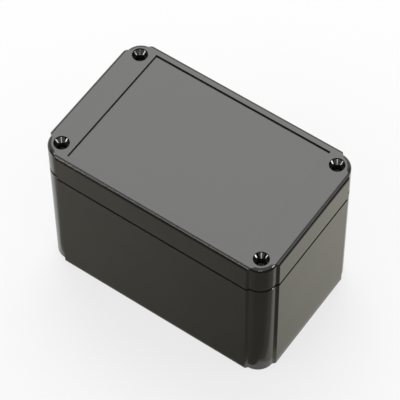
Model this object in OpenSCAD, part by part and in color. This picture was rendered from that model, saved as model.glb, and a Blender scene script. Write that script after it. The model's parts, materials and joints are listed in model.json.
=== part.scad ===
// Two-piece plastic project box: a deep base and a screwed-on lid, with inset round corners,
// a tongue and groove seal, and a shallow rectangular recess in the lid for a front plate.
// The origin is at the middle of the underside. X runs along the box, Z points up.

/* [Box] */
// Overall length, over the flat end walls
box_l = 130; // [110:1:180]
// Overall width, over the flat long walls
box_w = 80; // [74:1:130]
// Height of the base, from the underside to the seam
base_h = 72; // [40:1:120]
// Height of the lid, from the seam to the top
lid_h = 18; // [17:1:30]
// Thickness of the side walls
wall = 3.2; // [3:0.1:4]
// Thickness of the floor
floor_t = 3; // [2:0.1:5]
// Thickness of the lid's top, outside the recess
top_t = 4; // [3:0.1:6]

/* [Corners and edges] */
// Radius of the round corner columns, seen from above
corner_r = 8.8; // [8:0.1:10]
// How far the corner columns stand back from the flat walls
corner_inset = 1.3; // [0.6:0.1:1.6]
// Length of the slanted step from a flat wall to its corner column
step_run = 1.1; // [0.6:0.1:1.6]
// Radius of the edge round the lid's top
top_edge_r = 2.2; // [0.8:0.1:3]
// Radius of the edge round the underside
bottom_edge_r = 0.8; // [0.3:0.1:2]

/* [Seam] */
// Width of the open joint line between lid and base
seam_gap = 1.6; // [0.3:0.1:2]
// Depth of the open joint line
seam_depth = 0.8; // [0.4:0.1:1]
// Radius of the two edges along the joint line
seam_edge_r = 0.2; // [0.1:0.1:0.3]

/* [Seal] */
// Width of the groove in the lid's rim
groove_w = 1.4; // [1.2:0.1:1.6]
// Depth of the groove in the lid's rim
groove_depth = 3; // [2.4:0.1:4]
// Height of the tongue on the base's rim
tongue_h = 1.6; // [1:0.1:2]
// Clearance on each side of the tongue
tongue_clearance = 0.15; // [0.1:0.05:0.3]
// Clearance on each side of the sealing cord
seal_clearance = 0.1; // [0.05:0.05:0.2]
// Distance from the inner wall face to the middle of the groove
seal_offset = 1.3; // [1.2:0.1:1.4]

/* [Lid recess] */
// Length of the recess
recess_l = 99.6; // [60:0.2:100]
// Width of the recess
recess_w = 71.6; // [50:0.2:72]
// Depth of the recess
recess_depth = 1; // [0.4:0.1:1.5]

/* [Screws] */
// Distance from a flat wall to the screws' axes
screw_inset = 8.6; // [8:0.1:10]
// Radius of the solid column round a screw
column_r = 6; // [5.6:0.1:7]
// Radius of a screw well at the lid's top
well_r = 3.9; // [3:0.1:4.5]
// Depth of the straight land at the top of a well
well_land = 0.9; // [0.3:0.1:1.5]
// Depth of the tapered part of a well
well_taper = 2; // [1.4:0.1:4]
// Radius of a screw's thread
screw_r = 1.22; // [1:0.01:1.3]
// Length of a screw under its head
screw_l = 20; // [17:1:24]
// Radius of a screw's head
head_r = 1.95; // [1.8:0.05:2.3]
// Height of a screw's head
head_h = 1.6; // [1.2:0.1:2]
// How far a screw's head sits below the tapered part of its well
head_sink = 3; // [0.5:0.1:4]
// Clearance round a screw's head
head_clearance = 0.1; // [0.05:0.05:0.3]
// Clearance round the thread in the lid
thread_clearance = 0.23; // [0.15:0.01:0.4]

/* [Threaded inserts] */
// Outer radius of an insert
insert_r = 1.9; // [1.8:0.1:2.4]
// Length of an insert
insert_l = 6; // [4:0.5:8]
// Clearance between a screw and its insert's bore
insert_clearance = 0.05; // [0.02:0.01:0.1]
// How far an insert sits below the base's rim
insert_sink = 0.4; // [0.2:0.1:1]

/* [Inside the base] */
// Spacing of the board pillars along the box
board_x = 90; // [60:1:92]
// Spacing of the board pillars across the box
board_y = 46; // [30:1:48]
// Radius of a board pillar
pillar_r = 3.5; // [3:0.1:4.5]
// Height of a board pillar above the floor
pillar_h = 6; // [4:0.5:12]
// Radius of the pilot hole in a board pillar
pilot_r = 1.25; // [1:0.05:1.5]
// Thickness of a card guide rib
rib_t = 1.2; // [1:0.1:2]
// How far a card guide rib stands out from the wall
rib_out = 2; // [1.5:0.1:3]
// Width of the slot between two ribs
slot_w = 1.8; // [1.6:0.1:3]
// Distance from one card slot to the next
slot_pitch = 30; // [20:1:40]
// Distance from the top of the ribs down from the base's rim
rib_drop = 12; // [8:1:30]

/* [Hidden] */
$fn = 64;
// Overlap of joined solids, and how far a cut runs past the face that it opens
eps = 0.01;
over = 1;
box_h = base_h + lid_h;
// Centre of a corner column's outer arc
corner_x = box_l / 2 - corner_inset - corner_r;
corner_y = box_w / 2 - corner_inset - corner_r;
// Screw axes
screw_x = box_l / 2 - screw_inset;
screw_y = box_w / 2 - screw_inset;
// Heights in a screw well
taper_z = box_h - well_land - well_taper;
seat_z = taper_z - head_sink - head_h;
pocket_r = head_r + head_clearance;
bore_r = screw_r + thread_clearance;
insert_z = base_h - insert_sink - insert_l;
tip_z = seat_z - screw_l;
tip_room = 1.5;
// Cross recess of a screw
cross_l = 2.4;
cross_w = 0.6;
cross_depth = 0.9;
head_edge_r = 0.25;
tip_chamfer = 0.4;
// Waist between an insert's two knurled bands
waist_depth = 0.3;
waist_l = insert_l / 4;
// Floor left under a pilot hole
pilot_floor = 1.5;
slots = [-1, 0, 1];

// Point where the slanted ends of a long and an end wall, set in by d, would meet
function knee(half, d) =
    half - d - corner_inset * (corner_inset + corner_r - d + step_run) / (corner_inset + step_run);

// Flat walls with slanted ends, set in by d
module wall_outline(d) {
    flat_x = corner_x - step_run;
    flat_y = corner_y - step_run;
    for (sx = [-1, 1], sy = [-1, 1])
        scale([sx, sy])
            polygon([[0, 0], [box_l / 2 - d, 0], [box_l / 2 - d, flat_y],
                     [knee(box_l / 2, d), knee(box_w / 2, d)],
                     [flat_x, box_w / 2 - d], [0, box_w / 2 - d]]);
}

// Whole outline of the box from above, set in by d
module outline(d) {
    wall_outline(d);
    for (sx = [-1, 1], sy = [-1, 1])
        translate([sx * corner_x, sy * corner_y]) circle(r = corner_r - d);
}

// Half of an upright section from z0 to z1, with its lower and upper edges rounded
module half_section(w, z0, z1, low_r, high_r) {
    middle = (z0 + z1) / 2;
    translate([0, z0 + low_r]) square([w, z1 - z0 - low_r - high_r]);
    translate([0, z0]) square([w - low_r, middle - z0]);
    translate([0, middle]) square([w - high_r, z1 - middle]);
    translate([w - low_r, z0 + low_r]) circle(r = low_r);
    translate([w - high_r, z1 - high_r]) circle(r = high_r);
}

// Bar of that section, of a given length along Y
module rounded_bar(w, length, z0, z1, low_r, high_r) {
    for (side = [0, 1])
        mirror([side, 0, 0])
            rotate([90, 0, 0])
                linear_extrude(length, center = true) half_section(w, z0, z1, low_r, high_r);
}

// Outer form of a moulding from z0 to z1: flat walls with slanted ends, and round corner columns
module outer_form(z0, z1, low_r, high_r) {
    intersection() {
        translate([0, 0, z0]) linear_extrude(z1 - z0) wall_outline(0);
        union() {
            rounded_bar(box_l / 2, 2 * knee(box_w / 2, 0), z0, z1, low_r, high_r);
            rotate([0, 0, 90])
                rounded_bar(box_w / 2, 2 * knee(box_l / 2, 0), z0, z1, low_r, high_r);
        }
    }
    for (sx = [-1, 1], sy = [-1, 1])
        translate([sx * corner_x, sy * corner_y, 0])
            rotate_extrude() half_section(corner_r, z0, z1, low_r, high_r);
}

// Inside of the box from above, grown by d: a rectangle with its corners cut out round the screws
module inner_area(d) {
    reach = box_l;
    notch_r = column_r - d;
    difference() {
        square([box_l - 2 * (wall - d), box_w - 2 * (wall - d)], center = true);
        for (sx = [-1, 1], sy = [-1, 1])
            scale([sx, sy])
                translate([screw_x, screw_y]) {
                    circle(r = notch_r);
                    translate([-notch_r, 0]) square(reach);
                    translate([0, -notch_r]) square(reach);
                }
    }
}

// Closed ring of width w that follows the rim and passes inside the screws
module seal_ring(w, z, h) {
    translate([0, 0, z])
        linear_extrude(h)
            difference() {
                inner_area(seal_offset + w / 2);
                inner_area(seal_offset - w / 2);
            }
}

// Places its children at the four screw axes
module at_screws() {
    for (sx = [-1, 1], sy = [-1, 1])
        translate([sx * screw_x, sy * screw_y, 0]) children();
}

module board_pillars() {
    for (sx = [-1, 1], sy = [-1, 1])
        translate([sx * board_x / 2, sy * board_y / 2, floor_t - eps])
            cylinder(r = pillar_r, h = pillar_h + eps);
}

module pilot_holes() {
    for (sx = [-1, 1], sy = [-1, 1])
        translate([sx * board_x / 2, sy * board_y / 2, pilot_floor])
            cylinder(r = pilot_r, h = floor_t + pillar_h);
}

module card_guides() {
    for (side = [-1, 1], slot = slots, rib = [-1, 1])
        translate([slot * slot_pitch + rib * (slot_w + rib_t) / 2,
                   side * (box_w / 2 - wall - rib_out / 2 + eps),
                   (floor_t + base_h - rib_drop) / 2 - eps])
            cube([rib_t, rib_out + 2 * eps, base_h - rib_drop - floor_t], center = true);
}

module base() {
    color([0.16, 0.16, 0.15])
        difference() {
            union() {
                difference() {
                    union() {
                        outer_form(0, base_h - seam_gap / 2, bottom_edge_r, seam_edge_r);
                        translate([0, 0, floor_t]) linear_extrude(base_h - floor_t) outline(seam_depth);
                    }
                    translate([0, 0, floor_t]) linear_extrude(base_h) inner_area(0);
                }
                seal_ring(groove_w - 2 * tongue_clearance, base_h - eps, tongue_h + eps);
                board_pillars();
                card_guides();
            }
            at_screws() {
                translate([0, 0, insert_z]) cylinder(r = insert_r, h = base_h);
                translate([0, 0, tip_z - tip_room]) cylinder(r = bore_r, h = base_h);
            }
            pilot_holes();
        }
}

// Screw well, from the lid's top down to the seat of the head, and the bore under it
module screw_well() {
    translate([0, 0, box_h - well_land]) cylinder(r = well_r, h = well_land + over);
    translate([0, 0, taper_z]) cylinder(r1 = pocket_r, r2 = well_r, h = well_taper);
    translate([0, 0, seat_z]) cylinder(r = pocket_r, h = taper_z - seat_z);
    translate([0, 0, base_h - over]) cylinder(r = bore_r, h = seat_z - base_h + 2 * over);
}

module lid() {
    color([0.2, 0.2, 0.2])
        difference() {
            union() {
                outer_form(base_h + seam_gap / 2, box_h, seam_edge_r, top_edge_r);
                translate([0, 0, base_h]) linear_extrude(lid_h - top_t) outline(seam_depth);
            }
            translate([0, 0, base_h - over]) linear_extrude(lid_h - top_t + over) inner_area(0);
            seal_ring(groove_w, base_h - over, groove_depth + over);
            translate([-recess_l / 2, -recess_w / 2, box_h - recess_depth])
                cube([recess_l, recess_w, recess_depth + over]);
            at_screws() screw_well();
        }
}

module seal() {
    color([0.1, 0.1, 0.1])
        seal_ring(groove_w - 2 * seal_clearance, base_h + tongue_h, groove_depth - tongue_h);
}

// Cheese-head machine screw with a cross recess
module lid_screw(sx, sy) {
    color([0.08, 0.08, 0.08])
        translate([sx * screw_x, sy * screw_y, 0])
            difference() {
                union() {
                    rotate_extrude() half_section(head_r, seat_z, seat_z + head_h, eps, head_edge_r);
                    translate([0, 0, tip_z + tip_chamfer])
                        cylinder(r = screw_r, h = screw_l - tip_chamfer + eps);
                    translate([0, 0, tip_z])
                        cylinder(r1 = screw_r - tip_chamfer, r2 = screw_r, h = tip_chamfer);
                }
                for (turn = [0, 90])
                    translate([0, 0, seat_z + head_h])
                        rotate([0, 0, turn])
                            cube([cross_l, cross_w, 2 * cross_depth], center = true);
            }
}

// Brass insert with a waist between its two knurled bands
module threaded_insert(sx, sy) {
    color([0.78, 0.6, 0.25])
        translate([sx * screw_x, sy * screw_y, insert_z])
            difference() {
                cylinder(r = insert_r, h = insert_l);
                translate([0, 0, (insert_l - waist_l) / 2])
                    difference() {
                        cylinder(r = insert_r + over, h = waist_l);
                        translate([0, 0, -over])
                            cylinder(r = insert_r - waist_depth, h = waist_l + 2 * over);
                    }
                translate([0, 0, -over]) cylinder(r = screw_r + insert_clearance, h = insert_l + 2 * over);
            }
}

base();
lid();
seal();
lid_screw(-1, -1);  // screw_front_left
lid_screw(1, -1);  // screw_front_right
lid_screw(-1, 1);  // screw_back_left
lid_screw(1, 1);  // screw_back_right
threaded_insert(-1, -1);  // insert_front_left
threaded_insert(1, -1);  // insert_front_right
threaded_insert(-1, 1);  // insert_back_left
threaded_insert(1, 1);  // insert_back_right
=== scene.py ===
"""Looks of the plastic project box: finishes, edges, screws and inserts, and the studio round it."""

import json
import math

import bpy
from mathutils import Matrix, Vector

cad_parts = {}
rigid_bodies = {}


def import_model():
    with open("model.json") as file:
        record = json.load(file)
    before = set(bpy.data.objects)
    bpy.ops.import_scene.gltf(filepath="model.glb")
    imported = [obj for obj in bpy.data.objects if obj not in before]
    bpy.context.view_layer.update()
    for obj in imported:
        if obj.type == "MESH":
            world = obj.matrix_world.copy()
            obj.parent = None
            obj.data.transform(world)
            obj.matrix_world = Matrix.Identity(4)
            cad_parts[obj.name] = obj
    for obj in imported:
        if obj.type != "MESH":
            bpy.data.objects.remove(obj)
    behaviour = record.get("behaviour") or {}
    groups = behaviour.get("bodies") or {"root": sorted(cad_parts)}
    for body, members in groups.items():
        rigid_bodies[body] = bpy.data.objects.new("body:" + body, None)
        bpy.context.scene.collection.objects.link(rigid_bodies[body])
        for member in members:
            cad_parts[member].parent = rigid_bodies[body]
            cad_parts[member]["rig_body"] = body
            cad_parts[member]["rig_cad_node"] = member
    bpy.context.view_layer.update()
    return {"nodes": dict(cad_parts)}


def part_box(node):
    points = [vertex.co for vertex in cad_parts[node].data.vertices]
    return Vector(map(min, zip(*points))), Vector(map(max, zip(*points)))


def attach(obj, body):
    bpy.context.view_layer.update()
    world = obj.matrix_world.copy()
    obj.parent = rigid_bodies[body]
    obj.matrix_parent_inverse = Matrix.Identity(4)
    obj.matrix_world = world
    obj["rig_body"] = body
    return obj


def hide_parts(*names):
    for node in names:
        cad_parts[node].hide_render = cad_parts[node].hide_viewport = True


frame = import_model()

MM = 0.001
SAME = 0.02 * MM  # places closer together than this count as one
box_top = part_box("lid")[1].z

# ---------------------------------------------------------------- camera

CAMERA_AZIMUTH = 35.43
CAMERA_ELEVATION = 56.286
CAMERA_ROLL = -0.62
CAMERA_DISTANCE = 1.092
CAMERA_SIDE = 0.53 * MM
CAMERA_DROP = -21.55 * MM
SENSOR = 36.0
LENS = 210.9


def spherical(azimuth, elevation):
    """Unit vector towards a point at that azimuth (0 is -Y, 90 is +X) and elevation, in degrees."""
    a, e = math.radians(azimuth), math.radians(elevation)
    return Vector((math.sin(a) * math.cos(e), -math.cos(a) * math.cos(e), math.sin(e)))


def make_camera():
    back = spherical(CAMERA_AZIMUTH, CAMERA_ELEVATION)
    level = spherical(CAMERA_AZIMUTH + 90, 0)
    upright = back.cross(level)
    roll = math.radians(CAMERA_ROLL)
    right = math.cos(roll) * level + math.sin(roll) * upright
    up = -math.sin(roll) * level + math.cos(roll) * upright
    data = bpy.data.cameras.new("camera")
    data.sensor_width = SENSOR
    data.lens = LENS
    data.clip_start = 0.01
    data.clip_end = 20
    camera = bpy.data.objects.new("camera", data)
    aim = Vector((0, 0, box_top)) + right * CAMERA_SIDE + up * CAMERA_DROP
    place = aim + back * CAMERA_DISTANCE
    camera.matrix_world = Matrix.Translation(place) @ Matrix((right, up, back)).transposed().to_4x4()
    bpy.context.scene.collection.objects.link(camera)
    bpy.context.scene.camera = camera


make_camera()

# ---------------------------------------------------------------- studio

AMBIENT = 0.55
FLOOR_GLOW = 0.71
FLOOR_SIZE = 8
PAPER_SHADE = 0.9

# name: (azimuth, elevation, distance, width, height, radiance, lights matt surfaces too)
LAMPS = {
    "key": (215.4, 56, 1.2, 0.9, 0.9, 3.4, True),
    "strip": (334, 43, 1.0, 0.5, 0.1, 6.5, True),
    "side": (120, 30, 1.2, 0.5, 0.5, 1.0, True),
    "spark_left": (-33, 19.5, 1.0, 0.17, 0.2, 22.0, False),
    "spark_middle": (35.4, 29, 1.0, 0.24, 0.2, 8.0, False),
    "spark_right": (103, 19.5, 1.0, 0.22, 0.2, 26.0, False),
}


def set_socket(node, name, value):
    node.inputs[name].default_value = value


def new_material(name):
    material = bpy.data.materials.new(name)
    material.use_nodes = True
    return material, material.node_tree.nodes, material.node_tree.links


def add_lamp(name, azimuth, elevation, distance, width, height, radiance, matt):
    data = bpy.data.lights.new(name, "AREA")
    data.shape = "RECTANGLE"
    data.size = width
    data.size_y = height
    data.energy = radiance * math.pi * width * height
    lamp = bpy.data.objects.new(name, data)
    away = spherical(azimuth, elevation)
    lamp.location = Vector((0, 0, box_top)) + away * distance
    lamp.rotation_euler = away.to_track_quat("Z", "Y").to_euler()
    lamp.visible_camera = False
    lamp.visible_diffuse = matt
    bpy.context.scene.collection.objects.link(lamp)


def seen_mix(nodes, links, seen, otherwise, out, share=1.0):
    """Shows one shader to camera, glossy and transmission rays, and another one to the rest."""
    path = nodes.new("ShaderNodeLightPath")
    first = nodes.new("ShaderNodeMath")
    first.operation = "MAXIMUM"
    links.new(path.outputs["Is Camera Ray"], first.inputs[0])
    links.new(path.outputs["Is Glossy Ray"], first.inputs[1])
    second = nodes.new("ShaderNodeMath")
    second.operation = "MAXIMUM"
    links.new(first.outputs[0], second.inputs[0])
    links.new(path.outputs["Is Transmission Ray"], second.inputs[1])
    scale = nodes.new("ShaderNodeMath")
    scale.operation = "MULTIPLY"
    links.new(second.outputs[0], scale.inputs[0])
    scale.inputs[1].default_value = share
    mix = nodes.new("ShaderNodeMixShader")
    links.new(scale.outputs[0], mix.inputs[0])
    links.new(otherwise, mix.inputs[1])
    links.new(seen, mix.inputs[2])
    links.new(mix.outputs[0], out)


def make_world():
    world = bpy.data.worlds.new("studio")
    bpy.context.scene.world = world
    world.use_nodes = True
    nodes, links = world.node_tree.nodes, world.node_tree.links
    ambient = nodes["Background"]
    set_socket(ambient, "Strength", AMBIENT)
    set_socket(ambient, "Color", (1, 1, 1, 1))
    white = nodes.new("ShaderNodeBackground")
    set_socket(white, "Color", (1, 1, 1, 1))
    seen_mix(nodes, links, white.outputs[0], ambient.outputs[0], nodes["World Output"].inputs["Surface"])


def make_floor():
    material, nodes, links = new_material("floor_paper")
    paper = nodes["Principled BSDF"]
    set_socket(paper, "Base Color", (PAPER_SHADE, PAPER_SHADE, PAPER_SHADE, 1))
    set_socket(paper, "Roughness", 1)
    set_socket(paper, "Specular IOR Level", 0)
    glow = nodes.new("ShaderNodeEmission")
    set_socket(glow, "Color", (1, 1, 1, 1))
    seen_mix(nodes, links, glow.outputs[0], paper.outputs[0],
             nodes["Material Output"].inputs["Surface"], FLOOR_GLOW)
    bpy.ops.object.select_all(action="DESELECT")
    bpy.ops.mesh.primitive_plane_add(size=FLOOR_SIZE, location=(0, 0, 0))
    floor = bpy.context.active_object
    floor.name = "floor"
    floor.data.materials.append(material)


def make_painted_reflection_card(name, points, faces, shade_near, shade_far=None, start=None, end=None):
    """A card seen only in the box's gloss, whose glow paints what the box reflects. Its colour runs from
    near to far between two points.
    """
    material, nodes, links = new_material(name)
    glow = nodes.new("ShaderNodeEmission")
    links.new(glow.outputs[0], nodes["Material Output"].inputs["Surface"])
    if shade_far is None:
        set_socket(glow, "Color", (*shade_near, 1))
    else:
        place = nodes.new("ShaderNodeTexCoord")
        along = nodes.new("ShaderNodeVectorMath")
        along.operation = "SUBTRACT"
        links.new(place.outputs["Object"], along.inputs[0])
        along.inputs[1].default_value = start
        span = Vector(end) - Vector(start)
        reach = nodes.new("ShaderNodeVectorMath")
        reach.operation = "DOT_PRODUCT"
        links.new(along.outputs[0], reach.inputs[0])
        reach.inputs[1].default_value = span / span.length_squared
        ramp = nodes.new("ShaderNodeMix")
        ramp.data_type = "RGBA"
        links.new(reach.outputs["Value"], ramp.inputs["Factor"])
        ramp.inputs["A"].default_value = (*shade_near, 1)
        ramp.inputs["B"].default_value = (*shade_far, 1)
        links.new(ramp.outputs["Result"], glow.inputs["Color"])
    mesh = bpy.data.meshes.new(name)
    mesh.from_pydata(points, [], faces)
    card = bpy.data.objects.new(name, mesh)
    card.data.materials.append(material)
    bpy.context.scene.collection.objects.link(card)
    card.visible_camera = False
    card.visible_diffuse = False
    card.visible_shadow = False
    card.visible_transmission = False


def ring(azimuth_start, azimuth_end, inner, outer, low, high, steps=16):
    """Points and faces of a band round the box, from radius inner at low to outer at high."""
    points, faces = [], []
    for i in range(steps + 1):
        way = spherical(azimuth_start + (azimuth_end - azimuth_start) * i / steps, 0)
        points += [(way.x * inner, way.y * inner, low), (way.x * outer, way.y * outer, high)]
    for i in range(steps):
        faces.append((2 * i, 2 * i + 2, 2 * i + 3, 2 * i + 1))
    return points, faces


CARD_Z = 0.4 * MM
CARD_REACH = 0.3
FAR_RADIUS = 1.4
FAR_HEIGHT = 0.75
# Warm tint painted into the reflections that the cards give.
WARM = Vector((1.0, 0.97, 0.84))
BLACK = (0, 0, 0)
LEFT_CORNER, RIGHT_CORNER = (-0.064, -0.0405), (0.064, -0.0405)
POST_SIDE = (0.066, -0.037)


def out_from(corner, azimuth, distance=CARD_REACH):
    way = spherical(azimuth, 0) * distance
    return (corner[0] + way.x, corner[1] + way.y, CARD_Z)


def make_painted_reflection_cards():
    """Painted reflections: glowing cards that the front wall, the front column, the right wall and the
    rounded edges mirror.
    """
    front = [(*LEFT_CORNER, CARD_Z), out_from(LEFT_CORNER, -60), out_from(LEFT_CORNER, -35)]
    front += [out_from(RIGHT_CORNER, azimuth) for azimuth in (0, 60, 95)]
    front.append((*RIGHT_CORNER, CARD_Z))
    post = [(*RIGHT_CORNER, CARD_Z), out_from(RIGHT_CORNER, 95), out_from(RIGHT_CORNER, 128),
            (*POST_SIDE, CARD_Z)]
    side = [(*POST_SIDE, CARD_Z), out_from(POST_SIDE, 128, 0.2), (0.25, 0.25, CARD_Z),
            (0.066, 0.2, CARD_Z)]
    # Painted shadow: the front and post cards glow dim, as the shadowed floor would in the front wall's
    # and column's reflection; the side card paints the brighter floor that the right wall mirrors.
    make_painted_reflection_card("front_painted_shadow_card", front, [tuple(range(len(front)))], WARM * 0.17, WARM * 0.4,
              (0.06, -0.05, 0), (-0.08, -0.1, 0))
    make_painted_reflection_card("post_painted_shadow_card", post, [(0, 1, 2, 3)], WARM * 0.25)
    make_painted_reflection_card("side_painted_reflection_card", side, [(0, 1, 2, 3)], WARM * 0.55, WARM * 0.9,
              (0.07, -0.04, 0), (0.11, 0.06, 0))
    # Painted shade: black cards put where the room reads dark in the reflections.
    make_painted_reflection_card("far_painted_dark_card", *ring(-60, 128, CARD_REACH, FAR_RADIUS, CARD_Z * 2, CARD_Z * 2), BLACK)
    make_painted_reflection_card("round_painted_dark_card", *ring(-60, 150, FAR_RADIUS, FAR_RADIUS, 0, FAR_HEIGHT), BLACK)


make_world()
make_floor()
for lamp_name, lamp in LAMPS.items():
    add_lamp(lamp_name, *lamp)
make_painted_reflection_cards()

# ---------------------------------------------------------------- finishes


def noise(nodes, links, place, scale, detail=2.0, roughness=0.5):
    node = nodes.new("ShaderNodeTexNoise")
    set_socket(node, "Scale", scale)
    set_socket(node, "Detail", detail)
    set_socket(node, "Roughness", roughness)
    links.new(place, node.inputs["Vector"])
    return node.outputs["Fac"]


def spread(nodes, links, value, low, high, start=0.3, stop=0.7):
    """Turns a 0 to 1 pattern into a range of values."""
    node = nodes.new("ShaderNodeMapRange")
    links.new(value, node.inputs["Value"])
    set_socket(node, "From Min", start)
    set_socket(node, "From Max", stop)
    set_socket(node, "To Min", low)
    set_socket(node, "To Max", high)
    return node.outputs["Result"]


def bump(nodes, links, value, depth, before=None):
    node = nodes.new("ShaderNodeBump")
    set_socket(node, "Distance", depth)
    links.new(value, node.inputs["Height"])
    if before is not None:
        links.new(before, node.inputs["Normal"])
    return node.outputs["Normal"]


def two_tones(nodes, links, value, dark, light):
    node = nodes.new("ShaderNodeMix")
    node.data_type = "RGBA"
    links.new(value, node.inputs["Factor"])
    node.inputs["A"].default_value = (*dark, 1)
    node.inputs["B"].default_value = (*light, 1)
    return node.outputs["Result"]


def finish_material(name, dark, light, roughness, cloud_scale, grain_scale, grain_depth,
                    metallic=0.0, specular=0.5):
    """Moulded, plated or turned surface: cloudy colour and gloss, and a fine grain."""
    material, nodes, links = new_material(name)
    shader = nodes["Principled BSDF"]
    place = nodes.new("ShaderNodeTexCoord").outputs["Object"]
    clouds = noise(nodes, links, place, cloud_scale, 3.0)
    grain = noise(nodes, links, place, grain_scale, 2.0, 0.6)
    colour = two_tones(nodes, links, spread(nodes, links, clouds, 0, 1), dark, light)
    links.new(colour, shader.inputs["Base Color"])
    links.new(spread(nodes, links, clouds, *roughness), shader.inputs["Roughness"])
    links.new(bump(nodes, links, grain, grain_depth), shader.inputs["Normal"])
    set_socket(shader, "Metallic", metallic)
    set_socket(shader, "Specular IOR Level", specular)
    return material


base_plastic = finish_material(
    "black_plastic_base", (0.011, 0.0105, 0.008), (0.015, 0.0145, 0.0115),
    (0.15, 0.21), 35, 1700, 0.014 * MM)
lid_plastic = finish_material(
    "black_plastic_lid", (0.012, 0.0115, 0.009), (0.016, 0.0155, 0.0125),
    (0.14, 0.2), 30, 1500, 0.014 * MM)
# Painted shade: this finish is darker than the mouldings' own colour, to darken the screw wells, the
# seam gap and the recess walls; its low roughness is a real polish.
polished_painted_shade_plastic = finish_material(
    "polished_black_plastic_painted_shade", (0.005, 0.005, 0.004), (0.008, 0.008, 0.007),
    (0.06, 0.1), 200, 2000, 0.004 * MM)
seal_rubber = finish_material(
    "seal_rubber", (0.018, 0.018, 0.018), (0.032, 0.032, 0.03),
    (0.6, 0.78), 120, 2500, 0.03 * MM, specular=0.35)
screw_steel = finish_material(
    "black_plated_steel", (0.016, 0.016, 0.017), (0.03, 0.03, 0.032),
    (0.3, 0.42), 400, 4000, 0.006 * MM)
insert_brass = finish_material(
    "turned_brass", (0.58, 0.4, 0.13), (0.72, 0.52, 0.2),
    (0.24, 0.36), 500, 5000, 0.005 * MM, metallic=1.0)

# ---------------------------------------------------------------- shaping tools


def deselect():
    if bpy.context.object is not None and bpy.context.object.mode != "OBJECT":
        bpy.ops.object.mode_set(mode="OBJECT")
    bpy.ops.object.select_all(action="DESELECT")


def activate(obj):
    deselect()
    obj.select_set(True)
    bpy.context.view_layer.objects.active = obj


def edit(obj, kind="VERT"):
    """Opens obj in edit mode with nothing selected."""
    activate(obj)
    bpy.ops.object.mode_set(mode="EDIT")
    bpy.ops.mesh.select_mode(type=kind)
    bpy.ops.mesh.select_all(action="DESELECT")


def select(obj, wanted, kind="VERT"):
    """Selects the vertices, edges or faces for which wanted(element) holds."""
    edit(obj, kind)
    bpy.ops.object.mode_set(mode="OBJECT")
    mesh = obj.data
    elements = {"VERT": mesh.vertices, "EDGE": mesh.edges, "FACE": mesh.polygons}[kind]
    for element in elements:
        element.select = bool(wanted(element))
    bpy.ops.object.mode_set(mode="EDIT")


def done():
    bpy.ops.object.mode_set(mode="OBJECT")


def apply_modifier(obj, kind, **settings):
    activate(obj)
    modifier = obj.modifiers.new(kind.lower(), kind)
    for key, value in settings.items():
        setattr(modifier, key, value)
    bpy.ops.object.modifier_apply(modifier=modifier.name)


def settle(obj, angle=32):
    """Puts the place into the mesh, merges doubles, turns faces outwards and smooths the shading."""
    activate(obj)
    bpy.ops.object.transform_apply(location=True, rotation=True, scale=True)
    edit(obj)
    bpy.ops.mesh.select_all(action="SELECT")
    bpy.ops.mesh.remove_doubles(threshold=0.001 * MM)
    bpy.ops.mesh.normals_make_consistent(inside=False)
    done()
    bpy.ops.object.shade_smooth_by_angle(angle=math.radians(angle))
    apply_modifier(obj, "WEIGHTED_NORMAL", keep_sharp=True, weight=100)


def put(obj, name, material, node):
    """Names a finished piece and lets it stand for its CAD node."""
    obj.name = name
    obj.data.name = name
    obj.data.materials.clear()
    obj.data.materials.append(material)
    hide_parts(node)
    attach(obj, frame["nodes"][node]["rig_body"])


def merged_copy(node):
    """Copy of a CAD node with its loose triangles joined into clean faces."""
    activate(frame["nodes"][node])
    bpy.ops.object.duplicate()
    copy = bpy.context.active_object
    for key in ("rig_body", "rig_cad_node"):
        del copy[key]
    copy.parent = None
    edit(copy)
    bpy.ops.mesh.select_all(action="SELECT")
    bpy.ops.mesh.customdata_custom_splitnormals_clear()
    bpy.ops.mesh.remove_doubles(threshold=0.001 * MM)
    bpy.ops.mesh.dissolve_limited(angle_limit=math.radians(0.5))
    done()
    return copy


# ---------------------------------------------------------------- mouldings

STEP_EDGE_R = 0.2 * MM
RIM_EDGE_R = 0.1 * MM
WELL_EDGE_R = 0.12 * MM
CORD_EDGE_R = 0.3 * MM


def near(value, other):
    return abs(value - other) < SAME


def at_height(obj, z):
    """Test for edges of obj whose two ends both lie at height z."""
    return lambda e: all(near(obj.data.vertices[i].co.z, z) for i in e.vertices)


def ease_edges(obj, wanted, width, segments=3):
    """Rounds the edges whose two ends both meet wanted(point)."""
    points = obj.data.vertices
    select(obj, lambda e: all(wanted(points[i].co) for i in e.vertices), "EDGE")
    bpy.ops.mesh.bevel(offset=width, segments=segments, affect="EDGES", clamp_overlap=True)
    done()


HALF_L, HALF_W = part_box("lid")[1].x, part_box("lid")[1].y
RECESS_X, RECESS_Y = 49.8 * MM, 35.8 * MM
RECESS_DEPTH = 1 * MM
FLAT_X, FLAT_Y = 53.8 * MM, 28.8 * MM  # ends of the flat walls
WELL_R = 3.9 * MM
WELL_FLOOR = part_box("screw_front_left")[1].z - 2 * MM
SEAM_Z = 72 * MM
SEAM_REACH = 0.85 * MM
FLAT = 0.98  # how level a face's normal must stand for the face to count as flat


def centre_of(node):
    low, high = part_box(node)
    return (low + high) / 2


screws = sorted(name for name in frame["nodes"] if name.startswith("screw_"))
inserts = sorted(name for name in frame["nodes"] if name.startswith("insert_"))
screw_axes = [centre_of(name) for name in screws]


def on_recess_rim(p):
    along = near(abs(p.x), RECESS_X) and abs(p.y) < RECESS_Y + STEP_EDGE_R
    across = near(abs(p.y), RECESS_Y) and abs(p.x) < RECESS_X + STEP_EDGE_R
    return near(p.z, box_top) and (along or across)


def on_well_rim(p):
    return near(p.z, box_top) and any(
        near(math.hypot(p.x - axis.x, p.y - axis.y), WELL_R) for axis in screw_axes)


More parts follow.
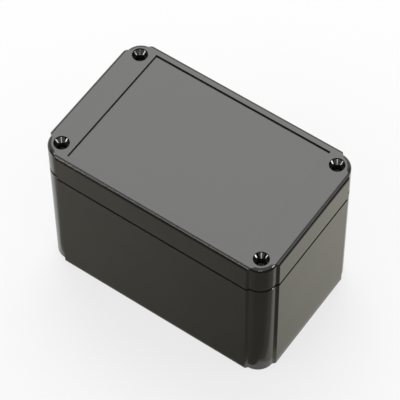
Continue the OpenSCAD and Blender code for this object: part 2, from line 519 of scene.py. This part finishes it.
def on_step_edge(p):
    """Upright outer edges where the flat walls turn in to the corner columns."""
    return (near(abs(p.x), HALF_L) and near(abs(p.y), FLAT_Y)) or (
        near(abs(p.y), HALF_W) and near(abs(p.x), FLAT_X))


def in_well(face):
    p = face.center
    return WELL_FLOOR < p.z < box_top - SAME / 2 and any(
        math.hypot(p.x - axis.x, p.y - axis.y) < WELL_R + RIM_EDGE_R for axis in screw_axes)


def in_seam_gap(face):
    """Faces of the shadow gap between the two mouldings, and of the joint behind it."""
    return abs(face.center.z - SEAM_Z) < SEAM_REACH and abs(face.normal.z) < FLAT


def on_recess_wall(face):
    p = face.center
    below_rim = box_top - RECESS_DEPTH < p.z < box_top - RIM_EDGE_R
    return below_rim and (near(abs(p.x), RECESS_X) or near(abs(p.y), RECESS_Y))


def polish_and_paint_shade(obj, wanted):
    """Gives the faces for which wanted(face) holds the gloss that a polished mould leaves, and a darker
    colour that paints shade into them.
    """
    obj.data.materials.append(polished_painted_shade_plastic)
    for face in obj.data.polygons:
        if wanted(face):
            face.material_index = 1


lid = merged_copy("lid")
ease_edges(lid, on_recess_rim, RIM_EDGE_R, 2)
ease_edges(lid, on_well_rim, WELL_EDGE_R, 2)
ease_edges(lid, on_step_edge, STEP_EDGE_R)
settle(lid)
put(lid, "lid_moulding", lid_plastic, "lid")
# Painted shade in the screw wells, the seam gap and the recess walls.
polish_and_paint_shade(lid, lambda f: in_well(f) or in_seam_gap(f) or on_recess_wall(f))

base = merged_copy("base")
ease_edges(base, on_step_edge, STEP_EDGE_R)
settle(base)
put(base, "base_moulding", base_plastic, "base")
# Painted shade in the seam gap.
polish_and_paint_shade(base, in_seam_gap)

seal = merged_copy("seal")
edit(seal, "EDGE")
bpy.ops.mesh.edges_select_sharp(sharpness=math.radians(60))
bpy.ops.mesh.bevel(offset=CORD_EDGE_R, segments=3, affect="EDGES")
done()
settle(seal, 50)
put(seal, "sealing_cord", seal_rubber, "seal")


def place_copies(model, names, kind, new_kind, material, angle):
    """Puts a copy of model on the axis of each named CAD node, and takes the model away."""
    for name in names:
        activate(model)
        bpy.ops.object.duplicate()
        piece = bpy.context.active_object
        axis = centre_of(name)
        piece.location = (axis.x, axis.y, 0)
        settle(piece, angle)
        put(piece, name.replace(kind, new_kind), material, name)
    bpy.data.objects.remove(model)


# ---------------------------------------------------------------- screws

THREAD_R = 1.22 * MM
THREAD_ROOT_R = 0.98 * MM
THREAD_PITCH = 0.45 * MM
HEAD_R = 1.95 * MM
HEAD_H = 1.6 * MM
HEAD_EDGE = 0.25 * MM
TIP_CHAMFER = 0.35 * MM
TIP_SHARE = 0.7  # the tip's radius, as a share of the shank's
THREAD_RUNOUT = 0.2 * MM
THREAD_SINK = 0.03 * MM  # how far the ridge runs into the shank
CROSS_L, CROSS_W, CROSS_DEPTH = 1.2 * MM, 0.3 * MM, 0.95 * MM  # from the middle of the cross


def add_cylinder(radius, depth, centre_z, vertices=48):
    deselect()
    bpy.ops.mesh.primitive_cylinder_add(
        vertices=vertices, radius=radius, depth=depth, location=(0, 0, centre_z))
    bpy.ops.object.transform_apply(location=True)
    return bpy.context.active_object


def join(objs):
    deselect()
    for obj in objs:
        obj.select_set(True)
    bpy.context.view_layer.objects.active = objs[0]
    bpy.ops.object.join()
    return bpy.context.active_object


def cross_cutter(top_z):
    """Two crossed blades that taper to a point, as a driver's tip does."""
    blades = []
    for turn in (0, 90):
        deselect()
        bpy.ops.mesh.primitive_cube_add(size=1, location=(0, 0, top_z))
        blade = bpy.context.active_object
        blade.scale = (2 * CROSS_L, 2 * CROSS_W, 2 * CROSS_DEPTH)
        bpy.ops.object.transform_apply(location=True, rotation=True, scale=True)
        select(blade, lambda v: v.co.z < top_z)
        bpy.ops.transform.resize(value=(0.45, 0.6, 1))
        done()
        if turn:
            select(blade, lambda v: True)
            bpy.ops.transform.rotate(
                value=math.radians(turn), orient_axis="Z", center_override=(0, 0, 0))
            done()
        blades.append(blade)
    apply_modifier(blades[0], "BOOLEAN", operation="UNION", object=blades[1])
    bpy.data.objects.remove(blades[1])
    return blades[0]


def thread_ridge(low, high):
    """Helical ridge of triangular section from low to high."""
    turns = int((high - low) / THREAD_PITCH) - 1
    half = 0.42 * THREAD_PITCH
    root = THREAD_ROOT_R - THREAD_SINK
    deselect()
    bpy.ops.mesh.primitive_circle_add(vertices=3, radius=half)
    ridge = bpy.context.active_object
    points = [(root, low), (THREAD_R, low + half), (root, low + 2 * half)]
    for corner, (x, z) in enumerate(points):
        select(ridge, lambda v: v.index == corner)
        start = ridge.data.vertices[corner].co
        bpy.ops.transform.translate(value=(x - start.x, -start.y, z - start.z))
        done()
    apply_modifier(ridge, "SCREW", axis="Z", angle=math.tau, screw_offset=THREAD_PITCH,
                   iterations=turns, steps=20, render_steps=20)
    edit(ridge)
    bpy.ops.mesh.select_non_manifold()
    bpy.ops.mesh.fill()
    done()
    return ridge


def make_screw():
    low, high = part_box(screws[0])
    seat_z, head_top = high.z - HEAD_H, high.z
    head = add_cylinder(HEAD_R, HEAD_H, (seat_z + head_top) / 2)
    select(head, at_height(head, head_top), "EDGE")
    bpy.ops.mesh.bevel(offset=HEAD_EDGE, segments=4, affect="EDGES")
    done()
    cutter = cross_cutter(head_top)
    apply_modifier(head, "BOOLEAN", operation="DIFFERENCE", object=cutter)
    bpy.data.objects.remove(cutter)
    shank_top = seat_z + HEAD_EDGE
    shank = add_cylinder(THREAD_ROOT_R, shank_top - low.z, (shank_top + low.z) / 2, 32)
    select(shank, lambda v: near(v.co.z, low.z))
    bpy.ops.transform.resize(value=(TIP_SHARE, TIP_SHARE, 1))
    done()
    ridge = thread_ridge(low.z + TIP_CHAMFER, seat_z - THREAD_RUNOUT)
    return join([head, shank, ridge])


screw_model = make_screw()
settle(screw_model, 35)
place_copies(screw_model, screws, "screw", "lid_screw", screw_steel, 35)

# ---------------------------------------------------------------- threaded inserts

INSERT_R = 1.9 * MM
KNURL_ROOT_R = 1.76 * MM
KNURL_TEETH = 36
WAIST_R = 1.6 * MM
BORE_R = 1.27 * MM
BAND_SHARE = 0.36  # length of one knurled band, as a share of the insert's
NECK = 0.1 * MM  # length of the slope between band and waist
END_CHAMFER = 0.15 * MM
END_SHARE = 0.93  # radius at the ends, as a share of the band's


def make_insert():
    """Knurled band, waist, knurled band, drawn up from a toothed ring, and a bore."""
    low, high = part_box(inserts[0])
    length = high.z - low.z
    band = BAND_SHARE * length
    deselect()
    bpy.ops.mesh.primitive_circle_add(vertices=2 * KNURL_TEETH, radius=INSERT_R, location=(0, 0, 0))
    toothed = bpy.context.active_object
    select(toothed, lambda v: v.index % 2)
    bpy.ops.transform.resize(value=(KNURL_ROOT_R / INSERT_R, KNURL_ROOT_R / INSERT_R, 1))
    bpy.ops.mesh.select_all(action="SELECT")
    bpy.ops.transform.translate(value=(0, 0, low.z))
    bpy.ops.transform.resize(value=(END_SHARE, END_SHARE, 1))
    rises = [
        (END_CHAMFER, 1 / END_SHARE), (band - END_CHAMFER, 1), (NECK, WAIST_R / INSERT_R),
        (length - 2 * band - 2 * NECK, 1), (NECK, INSERT_R / WAIST_R),
        (band - END_CHAMFER, 1), (END_CHAMFER, END_SHARE),
    ]
    for step, factor in rises:
        bpy.ops.mesh.extrude_region_move(TRANSFORM_OT_translate={"value": (0, 0, step)})
        bpy.ops.transform.resize(value=(factor, factor, 1))
    done()
    deselect()
    bpy.ops.mesh.primitive_cylinder_add(
        vertices=2 * KNURL_TEETH, radius=BORE_R, depth=length, end_fill_type="NOTHING",
        location=(0, 0, (low.z + high.z) / 2))
    bpy.ops.object.transform_apply(location=True)
    insert = join([toothed, bpy.context.active_object])
    for z in (low.z, high.z):
        select(insert, at_height(insert, z), "EDGE")
        bpy.ops.mesh.bridge_edge_loops()
        done()
    return insert


insert_model = make_insert()
settle(insert_model, 25)
place_copies(insert_model, inserts, "insert", "brass_insert", insert_brass, 25)

# The CAD nodes stay hidden behind their pieces, in the same finishes.
NODE_FINISHES = {"base": base_plastic, "lid": lid_plastic, "seal": seal_rubber,
                 "screw": screw_steel, "insert": insert_brass}
for name, node in frame["nodes"].items():
    node.data.materials.clear()
    node.data.materials.append(NODE_FINISHES[name.split("_")[0]])

bpy.context.scene.view_settings.view_transform = "Standard"
